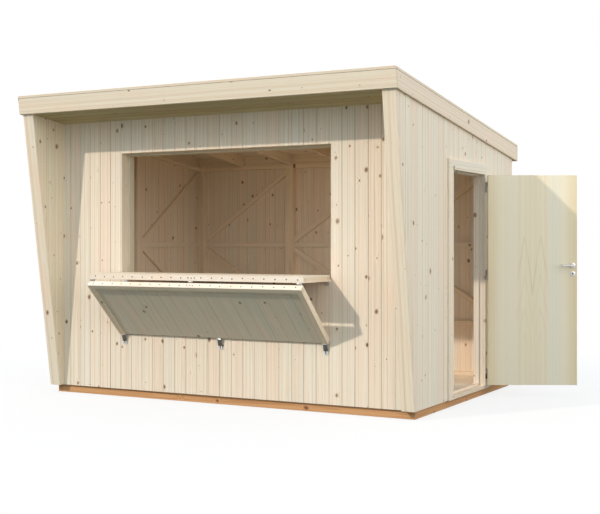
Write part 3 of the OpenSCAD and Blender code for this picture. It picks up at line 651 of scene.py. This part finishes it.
# Serving hatch: counter and flap boarded across, with a nailed lath along each folding edge
hatchBoards = dict(wallBoards, lot="hatch", tongue=0.0046)
lath = {"ease": 0.0012, "thick": 0.010, "nailPitch": 0.098, "nailSize": 0.0062, "endNail": 0.055,
        "middle": 0.014, "pair": 0.028, "spare": 0.01}
counterFront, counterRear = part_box("counter_top")[0].y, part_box("counter_top")[1].y
flapSolid = solidsOf("flap_boards")[0]
flapFace = turnedTo(broadFace(flapSolid).normal.copy(), front)
flapAlong = turnedTo(right.cross(flapFace).normalized(), down)  # from the fold to the resting edge
flapStart = reach(flapSolid, flapAlong)[0]
counterKeep = (back, counterFront + lath["thick"], counterRear + 1)
flapKeep = (flapAlong, flapStart + lath["thick"], flapStart + 2)
topBoards, underBoards = dict(hatchBoards, chamfer=0.0022), dict(hatchBoards, lot="hatch under")
boarding("counter_top_boards", ["counter_top"], back, up, topBoards, keep=counterKeep)
boarding("counter_under_boards", ["counter_boards"], back, down, underBoards, keep=counterKeep)
timbers("counter_batten_timber", ["counter_battens"], dict(studwork, lot="counter"), keep=counterKeep)
print("stall: counter made")


# A block drawn on three directions, from one corner to the other
def block(axes, low, high):
    mesh = bmesh.new()
    corner = [mesh.verts.new(axes[0] * a + axes[1] * b + axes[2] * c)
              for a in (low[0], high[0]) for b in (low[1], high[1]) for c in (low[2], high[2])]
    for quad in ((0, 1, 3, 2), (4, 6, 7, 5), (0, 4, 5, 1), (2, 3, 7, 6), (0, 2, 6, 4), (1, 5, 7, 3)):
        mesh.faces.new([corner[i] for i in quad])
    bmesh.ops.recalc_face_normals(mesh, faces=mesh.faces)
    return mesh


# Faces between rings of points, closed at both ends; a ring of one point is a tip
def skinned(mesh, rings, steps):
    for lower, upper in zip(rings, rings[1:]):
        for i in range(steps):
            j = (i + 1) % steps
            if len(lower) == 1:
                mesh.faces.new((lower[0], upper[j], upper[i]))
            elif len(upper) == 1:
                mesh.faces.new((lower[i], lower[j], upper[0]))
            else:
                mesh.faces.new((lower[i], lower[j], upper[j], upper[i]))
    for ring in (rings[0], rings[-1]):
        if len(ring) > 1:
            mesh.faces.new(ring)
    bmesh.ops.recalc_face_normals(mesh, faces=mesh.faces)
    return mesh


def ringTurns(steps):
    return [2 * math.pi * i / steps for i in range(steps)]


# A turned shape: radius and height pairs spun about an axis
def turned(profile, centre, axis, steps=32):
    side = axis.orthogonal().normalized()
    other = axis.cross(side).normalized()
    mesh = bmesh.new()
    rings = []
    for radius, height in profile:
        middle = centre + axis * height
        if radius < 1e-6:
            rings.append([mesh.verts.new(middle)])
        else:
            rings.append([mesh.verts.new(middle + (side * math.cos(t) + other * math.sin(t)) * radius)
                          for t in ringTurns(steps)])
    return skinned(mesh, rings, steps)


# A round bar swept along a flat path, with its own radius at each point
def sweptBar(path, radii, flat, steps=24):
    mesh = bmesh.new()
    rings = []
    for i, (point, radius) in enumerate(zip(path, radii)):
        way = (path[min(i + 1, len(path) - 1)] - path[max(i - 1, 0)]).normalized()
        side = way.cross(flat).normalized()
        rings.append([mesh.verts.new(point + (side * math.cos(t) + flat * math.sin(t)) * radius)
                      for t in ringTurns(steps)])
    return skinned(mesh, rings, steps)


def layPlain(stack, mesh, smooth=True):
    stack.lay(mesh, (right, back, up), Vector(), (0, 0, 0), (0.5, 0.5), smooth=smooth)


# A screw head with a round recess
def screwHead(stack, centre, axis, radius):
    profile = [(radius, -0.0006), (radius, 0.0002), (radius * 0.82, 0.0009), (radius * 0.3, 0.0011),
               (radius * 0.26, 0.0002), (0.0, 0.0001)]
    layPlain(stack, turned(profile, centre, axis, 20))


def nailHead(stack, centre, axis, radius):
    profile = [(radius, -0.0008), (radius, 0.0001), (radius * 0.8, 0.0004), (0.0, 0.0005)]
    layPlain(stack, turned(profile, centre, axis, 14))


flapBack = dict(hatchBoards, lot="flap")
flapLining = dict(hatchBoards, lot="flap lining", chamfer=0.0014, seams=(0.0, 0.5))
boarding("flap_back_boards", ["flap_boards"], flapAlong, -flapFace, flapBack, keep=flapKeep)
boarding("flap_lining_boards", ["flap_lining"], flapAlong, flapFace, flapLining, flapSpruce)
timbers("flap_batten_timber", ["flap_battens"], dict(studwork, lot="flap"), keep=flapKeep)

hatchLeft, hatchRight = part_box("counter_top")[0].x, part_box("counter_top")[1].x
counterLow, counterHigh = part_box("counter_boards")[0].z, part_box("counter_top")[1].z
flapInner = reach(flapSolid, flapFace)[0]
flapOuter = max(reach(s, flapFace)[1] for s in solidsOf("flap_battens"))


# A lath along a folding edge, nailed at an even pitch with one more pair at the middle
def nailedLath(name, thickWay, start, wideWay, low, high):
    stack, nails = Stack(), Stack()
    strip = block((right, thickWay, wideWay), (hatchLeft, start, low),
                  (hatchRight, start + lath["thick"], high))
    ease(strip, sharpEdges(strip), lath["ease"], 2)
    dice = random.Random(name)
    shift = (dice.uniform(0, 9), 0.02 - (low + high) / 2, 0.02)
    stack.lay(strip, (right, wideWay, -thickWay), Vector(), shift, (0.15, 0.2))
    stack.build(name, lathSpruce, "spruce_boards")
    first, run = hatchLeft + lath["endNail"], hatchRight - hatchLeft - 2 * lath["endNail"]
    count = int((run + lath["spare"]) / lath["nailPitch"])
    places = [first + i * run / count for i in range(count + 1)]
    middle = min(places, key=lambda x: abs(x - lath["middle"]))
    places += [middle - lath["pair"], middle + lath["pair"]]
    for x in places:
        across = (low + high) / 2
        spot = right * (x + dice.uniform(-0.004, 0.004)) + wideWay * (across + dice.uniform(-0.003, 0.003))
        nailHead(nails, spot + thickWay * start, -thickWay, lath["nailSize"])
    nails.build(name + "_nails", nailMetal, "zinc_steel")


nailedLath("counter_edge_lath", back, counterFront, up, counterLow, counterHigh)
nailedLath("flap_edge_lath", flapAlong, flapStart, flapFace, flapInner, flapOuter)
print("stall: flap made")


# Hinges and hasps: the construction's own solids with broken edges, and screws
def fittings(name, node, metal, slot, screws, body="stall", screwSize=0.0042, which=(0, 1, 2)):
    stack = Stack()
    for k, solid in enumerate(solidsOf(node, 0.2)):
        if k in which:
            ease(solid, sharpEdges(solid, 50), 0.0006, 1)
            layPlain(stack, solid)
    for spot, axis in screws:
        screwHead(stack, spot, axis, screwSize)
    return stack.build(name, metal, slot, body, [node])


hatchHinges = {"places": (-0.988, 0.014, 1.016), "spread": 0.014, "screwUp": 0.012, "screwIn": 0.017,
               "counterIn": 0.036, "plate": 0.0025, "pinOff": 0.007}
wallFace, wallPlateLow = counterRear + hatchHinges["pinOff"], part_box("wall_hinges")[0].z
inset, plate = hatchHinges["screwIn"], hatchHinges["plate"]
underCounter = up * (counterLow - plate)
foldScrews, wallScrews = [], []
for x in hatchHinges["places"]:
    for side in (-1, 1):
        at = right * (x + side * hatchHinges["spread"])
        foldScrews.append((at + back * (counterFront + inset) + underCounter, down))
        foldScrews.append((at + flapAlong * (flapStart + inset) + flapFace * (flapInner - plate), -flapFace))
        onWall = back * (wallFace - plate) + up * (wallPlateLow + hatchHinges["screwUp"])
        wallScrews.append((at + onWall, front))
        wallScrews.append((at + back * (wallFace - hatchHinges["counterIn"]) + underCounter, down))
fittings("fold_hinge_set", "fold_hinges", zinc, "zinc_steel", foldScrews)
fittings("wall_hinge_set", "wall_hinges", brightZinc, "zinc_steel", wallScrews)

# The middle of each hasp plate is dark zinc, painted shade; the parts above and below keep the bright zinc
haspTurn = {"low": 0.036, "high": 0.092}  # the darkened middle of each plate, up from its tip
plates, shadedMiddles = Stack(), Stack()
for solid in solidsOf("hasps", 0.2):
    foot = reach(solid, up)[0]
    ends = (foot + haspTurn["low"], foot + haspTurn["high"])
    for stack, low, high in ((plates, 0.0, ends[0]), (shadedMiddles, ends[0], ends[1]), (plates, ends[1], 2.0)):
        part = slab(solid, up, low, high)
        ownEdges = [e for e in sharpEdges(part, 50)
                    if all(min(abs(v.co.z - end) for end in ends) > 1e-4 for v in e.verts)]
        ease(part, ownEdges, 0.0004)
        layPlain(stack, part)
plates.build("hasp_plates", brightZinc, "zinc_steel", nodes=["hasps"])
shadedMiddles.build("hasp_middles", shadeZinc, "zinc_steel", nodes=["hasps"])

# The slots are backed dark, with a thin black sheet just inside the plate's rear face: painted shade in each
# slot
haspSlot = {"width": 0.0096, "height": 0.0390, "up": 0.0340, "inset": 0.0003, "thick": 0.0008,
            "plate": 0.003, "round": 0.0046}
slotShades = Stack()
for hasp in solidsOf("hasps"):
    broad = broadFace(hasp)
    face = turnedTo(broad.normal.copy(), front)
    rear = broad.verts[0].co.dot(face) - (haspSlot["plate"] if face.dot(broad.normal) > 0 else 0.0)
    hang = turnedTo(right.cross(face).normalized(), down)
    (west, east), tip = reach(hasp, right), reach(hasp, hang)[1]
    x, w, h = (west + east) / 2, haspSlot["width"] / 2, haspSlot["height"] / 2
    spot, near = tip - haspSlot["up"], rear + haspSlot["inset"]
    well = block((right, hang, face), (x - w, spot - h, near), (x + w, spot + h, near + haspSlot["thick"]))
    ease(well, [e for e in well.edges if edgeRuns(e, face)], haspSlot["round"], 6)
    layPlain(slotShades, well, False)
slotShades.build("hasp_slot_wells", blackSteelAndShade, "black_steel")

# Door: frame, threshold and casing
joinery = {"lot": "joinery", "ease": 0.0016}
planks("door_frame_timber", "door_frame", joinery, doorFrameShadeSpruce)
planks("door_threshold_timber", "door_threshold", dict(joinery, lot="threshold"), spruce)
planks("door_casing_boards", "door_casing", dict(joinery, lot="casing"), spruce)

# Door leaf: two veneered faces on a lipped core
leafSet = {"skin": 0.0032, "lipping": 0.034, "shadow": 0.0003, "ease": 0.0008, "coreEase": 0.0004}
leafSolid = solidsOf("door_leaf")[0]
leafOut = turnedTo(broadFace(leafSolid).normal.copy(), front)  # towards the room, which the open door shows
leafWay = up.cross(leafOut).normalized()
leafAxes = (up, leafWay, leafOut)
(footZ, headZ), (hungEdge, freeEdge), (outsideFace, roomFace) = (reach(leafSolid, way) for way in leafAxes)
leafPiece = Stack()
skin, gap, lip = leafSet["skin"], leafSet["shadow"], leafSet["lipping"]


def leafBlock(low, high, width=leafSet["coreEase"], grainTurn=False):
    part = block(leafAxes, low, high)
    ease(part, sharpEdges(part), width, 2)
    axes = (leafWay, up, leafOut) if grainTurn else leafAxes
    leafPiece.lay(part, axes, leafWay * hungEdge, (0.35, 0, 0), (0.3, 0.3))


leafBlock((footZ, hungEdge, roomFace - skin), (headZ, freeEdge, roomFace), leafSet["ease"])
leafBlock((footZ, hungEdge, outsideFace), (headZ, freeEdge, outsideFace + skin), leafSet["ease"])
coreIn, coreOut = outsideFace + skin + gap, roomFace - skin - gap
hungLip, freeLip = hungEdge + lip + gap, freeEdge - lip - gap
for low, high in ((hungEdge + gap, hungEdge + lip), (freeEdge - lip, freeEdge - gap)):
    leafBlock((footZ + gap, low, coreIn), (headZ - gap, high, coreOut))
for low, high in ((footZ + gap, footZ + lip), (headZ - lip, headZ - gap)):
    leafBlock((low, hungLip, coreIn), (high, freeLip, coreOut), grainTurn=True)
leafBlock((footZ + lip + gap, hungLip, coreIn - gap), (headZ - lip - gap, freeLip, coreOut + gap))
leafPiece.build("door_leaf_panel", veneer, "door_veneer", "door", ["door_leaf"])
print("stall: door hung")

# Handles: a rose and a bent lever above a key escutcheon, on both faces
handleSet = {"rose": 0.024, "roseDepth": 0.009, "collar": 0.0115, "neck": 0.0078, "lever": 0.0086,
             "reachOut": 0.048, "bend": 0.016, "length": 0.112, "tip": 0.006, "keyDrop": 0.075}
keySet = {"depth": 0.006, "hole": 0.0072, "slot": 0.0033, "slotLength": 0.0165, "up": 0.004, "sunk": 0.0035,
          "steps": 48}
handles, keyholeShades = Stack(), Stack()


def lever(foot, towards):
    out, bend, thick, tip = (handleSet[key] for key in ("reachOut", "bend", "lever", "tip"))
    path = [foot + towards * s for s in (0.004, 0.014, 0.022, out - bend)]
    radii = [handleSet["neck"]] * 4
    for k in range(1, 9):
        t = math.pi / 2 * k / 8
        rise, run = out - bend + bend * math.sin(t), bend - bend * math.cos(t)
        path.append(foot + towards * rise - leafWay * run)
        radii.append(handleSet["neck"] + (thick - handleSet["neck"]) * k / 8)
    straight = handleSet["length"] - tip
    for s in (0.03, 0.05, 0.07, 0.09, straight):
        path.append(foot + towards * out - leafWay * s)
        radii.append(thick)
    for k in range(1, 6):
        t = math.pi / 2 * k / 5.4
        path.append(foot + towards * out - leafWay * (straight + tip * math.sin(t)))
        radii.append(thick - tip + tip * math.cos(t))
    layPlain(handles, sweptBar(path, radii, up))


# How far the key's outline lies from its middle: a round hole with a slot below
def keyOutline(across, rise):
    if rise > -0.05:
        return keySet["hole"]
    return max(keySet["hole"], min(keySet["slot"] / max(abs(across), 1e-6), keySet["slotLength"] / abs(rise)))


def escutcheon(key, towards):
    r, d, steps = handleSet["rose"], keySet["depth"], keySet["steps"]
    side = towards.cross(up).normalized()
    plate, rings = bmesh.new(), []
    for radius, height in ((r, 0.0), (r, d * 0.5), (r * 0.96, d * 0.85), (r * 0.88, d), (None, d),
                           (None, d - keySet["sunk"])):
        ring, lift = [], keySet["up"] if radius is None else 0.0
        for t in ringTurns(steps):
            c, s = math.sin(t), math.cos(t)
            size = keyOutline(c, s) if radius is None else radius
            ring.append(plate.verts.new(key + towards * height + side * (c * size) + up * (s * size + lift)))
        rings.append(ring)
    hole = [v.co.copy() for v in rings[-1]]
    layPlain(handles, skinned(plate, rings, steps))
    # A thin black plug just behind the key hole: painted shade in the hole
    dark = bmesh.new()
    near, far = [[dark.verts.new(p + towards * depth) for p in hole] for depth in (0.0004, -0.0008)]
    dark.faces.new(near)
    dark.faces.new(far)
    for i in range(steps):
        dark.faces.new((near[i], near[(i + 1) % steps], far[(i + 1) % steps], far[i]))
    bmesh.ops.recalc_face_normals(dark, faces=dark.faces)
    layPlain(keyholeShades, dark, False)


for spot in [centreOf(s) for s in solidsOf("door_handles") if len(s.faces) < 120]:
    towards = leafOut if spot.dot(leafOut) > (roomFace + outsideFace) / 2 else -leafOut
    face = roomFace if towards == leafOut else outsideFace
    foot = leafWay * spot.dot(leafWay) + up * (spot.z + handleSet["keyDrop"]) + leafOut * face
    r, d, collar = handleSet["rose"], handleSet["roseDepth"], handleSet["collar"]
    rose = [(r, 0.0), (r, d * 0.45), (r * 0.965, d * 0.78), (r * 0.86, d * 0.95), (r * 0.5, d), (0.0, d)]
    ring = [(collar, d - 0.001), (collar, d + 0.003), (0.0102, d + 0.005), (0.0, d + 0.005)]
    layPlain(handles, turned(rose, foot, towards, 48))
    layPlain(handles, turned(ring, foot, towards, 32))
    lever(foot, towards)
    escutcheon(foot - up * handleSet["keyDrop"], towards)

# Lock: a face plate let into the free edge, with its latch
lockSet = {"below": 0.125, "above": 0.105, "half": 0.010, "let": 0.002, "proud": 0.0004, "round": 0.0098,
           "latchTall": 0.009, "latchHalf": 0.005, "latchOut": 0.0065, "latchEase": 0.0018, "screwIn": 0.012}
middle, edgeIn, edgeOut = (roomFace + outsideFace) / 2, freeEdge - lockSet["let"], freeEdge + lockSet["proud"]
plateLow, plateHigh = foot.z - lockSet["below"], foot.z + lockSet["above"]
lockPlate = block(leafAxes, (plateLow, edgeIn, middle - lockSet["half"]),
                  (plateHigh, edgeOut, middle + lockSet["half"]))
ease(lockPlate, [e for e in lockPlate.edges if edgeRuns(e, leafWay)], lockSet["round"], 6)
layPlain(handles, lockPlate)
tall, half = lockSet["latchTall"], lockSet["latchHalf"]
latch = block(leafAxes, (foot.z - tall, edgeIn, middle - half),
              (foot.z + tall, freeEdge + lockSet["latchOut"], middle + half))
ease(latch, sharpEdges(latch), lockSet["latchEase"], 3)
layPlain(handles, latch)
for z in (plateLow + lockSet["screwIn"], plateHigh - lockSet["screwIn"]):
    screwHead(handles, up * z + leafWay * edgeOut + leafOut * middle, leafWay, 0.004)
handles.build("door_handle_set", satin, "handle_steel", "door", ["door_handles"])
keyholeShades.build("door_keyhole_wells", blackSteelAndShade, "black_steel", "door")

# Door hinges: plated halves on casing and leaf, and a black one at the foot
hingeSet = {"plate": 0.0022, "leafIn": 0.026, "casingIn": 0.027, "screw": 0.0035}
pinY, casingFace = frame["joints"][0]["pos_m"][1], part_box("door_casing")[1].x
upperScrews, lowerScrews, footScrews = [], [], []


def screwHeights(solid, shares):
    low, high = reach(solid, up)
    return [low + (high - low) * share for share in shares]


for solid in solidsOf("door_hinge_plates"):
    onLeaf = leafOut * (outsideFace - hingeSet["plate"]) + leafWay * (hungEdge + hingeSet["leafIn"])
    upperScrews += [(onLeaf + up * z, -leafOut) for z in screwHeights(solid, (0.3, 0.7))]
onCasing = right * (casingFace + hingeSet["plate"]) + back * (pinY + hingeSet["casingIn"])
for k, solid in enumerate(solidsOf("door_hinge_pins")):
    heads = lowerScrews if k else footScrews
    heads += [(onCasing + up * z, right) for z in screwHeights(solid, (0.12, 0.36))]
for name, node, metal, slot, screws, body, which in (
        ("door_hinge_foot", "door_hinge_pins", blackSteelAndShade, "black_steel", footScrews, "stall", (0,)),
        ("door_hinge_lower", "door_hinge_pins", zinc, "zinc_steel", lowerScrews, "stall", (1, 2)),
        ("door_hinge_upper", "door_hinge_plates", zinc, "zinc_steel", upperScrews, "door", (0, 1, 2))):
    fittings(name, node, metal, slot, screws, body, hingeSet["screw"], which)
print("stall: fittings on")

# Pale floor: white to the eye with the stall's soft shadow in it, plain for the light that it sends back
floorLook = {"half": 30.0, "shadow": 0.20, "near": 2.6, "far": 5.6, "sent": (0.066, 0.076, 0.056),
             "paint": (0.80, 0.79, 0.78)}
ground = Finish("pale floor")
spotX, spotY, _ = ground.parts(ground.add("ShaderNodeTexCoord", out="Object"))
awayFromStall = ((spotX - 0.2) ** 2.0 + (spotY + 0.2) ** 2.0) ** 0.5
share = (1.0 - ground.step(awayFromStall, floorLook["near"], floorLook["far"])) * floorLook["shadow"]
shaded = ground.add("ShaderNodeBsdfDiffuse", None, {"Color": (*floorLook["paint"], 1.0)})
white = ground.add("ShaderNodeEmission", None, {"Color": (1.0, 1.0, 1.0, 1.0), "Strength": 1.0})
seenFloor = ground.add("ShaderNodeMixShader", None, {0: share, 1: white, 2: shaded})
lightSent = ground.add("ShaderNodeBsdfDiffuse", None, {"Color": (*floorLook["sent"], 1.0)})
floorShader = ground.add("ShaderNodeMixShader", None, {0: ground.looked(), 1: lightSent, 2: seenFloor})
ground.add("ShaderNodeOutputMaterial", None, {0: floorShader})
floorMesh = bpy.data.meshes.new("studio_floor")
corners = [(x * floorLook["half"], y * floorLook["half"], 0) for x, y in ((-1, -1), (1, -1), (1, 1), (-1, 1))]
floorMesh.from_pydata(corners, [], [(0, 1, 2, 3)])
floorMesh.materials.append(ground.material)
studioFloor = bpy.data.objects.new("studio_floor", floorMesh)
scene.collection.objects.link(studioFloor)

# Light: a soft sky all round and a low sun from the left in front
light = {
    "sky": (0.825, 0.915, 1.0), "skyLevel": 1.01,
    "sun": 1.93, "sunColour": (1.0, 0.905, 0.815), "sunWay": (0.258, 0.44, -0.325), "sunSoft": 1.4,
    "fill": 1.25, "fillColour": (1.0, 0.985, 0.96), "fillWay": (-0.88, 0.28, -0.32), "fillSoft": 60.0,
    "room": 3.7, "roomColour": (1.0, 0.79, 0.58), "roomWay": (0.0, 1.0, -0.30), "roomSize": 0.8,
    "roomPlace": (0.1, -0.80, 2.0),
}
sky = Finish("soft sky", bpy.data.worlds.new("soft sky"))
scene.world = sky.material
dome = sky.add("ShaderNodeBackground", None, {"Color": (*light["sky"], 1.0), "Strength": light["skyLevel"]})
plain = sky.add("ShaderNodeBackground", None, {"Color": (1.0, 1.0, 1.0, 1.0), "Strength": 1.0})
skyShader = sky.add("ShaderNodeMixShader", None, {0: sky.looked(), 1: dome, 2: plain})
sky.add("ShaderNodeOutputWorld", None, {0: skyShader})


def lampOf(name, kind):
    lamp = bpy.data.lights.new(name, kind)
    lamp.energy, lamp.color = light[name], light[name + "Colour"]
    holder = bpy.data.objects.new(name, lamp)
    holder.rotation_euler = Vector(light[name + "Way"]).to_track_quat("-Z", "Y").to_euler()
    scene.collection.objects.link(holder)
    return lamp, holder


for name in ("sun", "fill"):
    lampOf(name, "SUN")[0].angle = math.radians(light[name + "Soft"])
roomLamp, roomHolder = lampOf("room", "AREA")
roomLamp.size, roomHolder.location = light["roomSize"], light["roomPlace"]
roomHolder.visible_camera = roomHolder.visible_glossy = False

# Camera: a long lens at head height, ahead and to the right
viewpoint = {"lens": 66.66, "place": (5.0583, -9.1787, 1.3697), "turn": 0.4927, "shift": -0.0232}
lens = bpy.data.cameras.new("camera")
lens.lens, lens.sensor_width, lens.shift_y = viewpoint["lens"], 36.0, viewpoint["shift"]
camera = bpy.data.objects.new("camera", lens)
camera.location, camera.rotation_euler = viewpoint["place"], (math.radians(90), 0, viewpoint["turn"])
scene.collection.objects.link(camera)
scene.camera = camera

print("stall: done")
